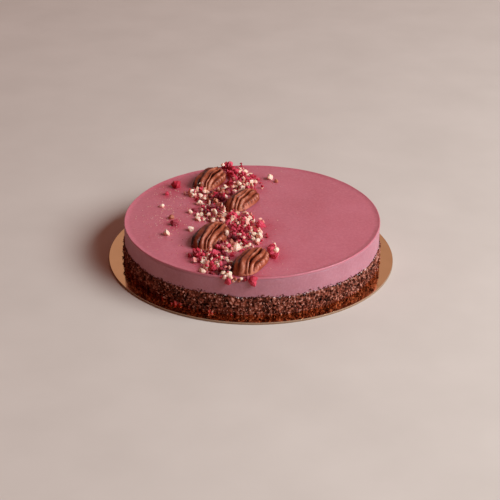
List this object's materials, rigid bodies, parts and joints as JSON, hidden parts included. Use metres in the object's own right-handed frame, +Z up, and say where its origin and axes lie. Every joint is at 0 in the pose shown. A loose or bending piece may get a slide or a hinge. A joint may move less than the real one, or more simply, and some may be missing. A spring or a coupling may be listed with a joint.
{
  "type": "cherry mousse cake",
  "caption": "Round cherry mousse cake on a gold card board: chocolate sponge base, glossy cherry top with a band of pecan halves, chopped nuts and dried cherry pieces.",
  "frame": {"origin": "middle of the board's underside, the face the cake stands on", "axes": "+Z up; -Y is the front of the cake, and the band of toppings runs from the back (+Y) to the front; +X is to the right seen from the front"},
  "size_m": [0.202, 0.202, 0.0392],
  "materials": {
    "gold_card": "thin gold foil on card, satin",
    "chocolate_sponge": "open, crumbly, matte",
    "cherry_mousse": "smooth, soft sheen",
    "cherry_glaze": "smooth, satin gloss",
    "pecan": "ridged nut skin, faint sheen",
    "chopped_nut": "matte, pale",
    "dried_cherry": "matte, crisp, crimson to dark red"
  },
  "bodies": {
    "root": {"cake_board": "gold_card", "sponge_base": "chocolate_sponge", "cherry_mousse": "cherry_mousse", "cherry_glaze": "cherry_glaze", "pecan_1": "pecan", "pecan_2": "pecan", "pecan_3": "pecan", "pecan_4": "pecan"}
  },
  "joints": []
}
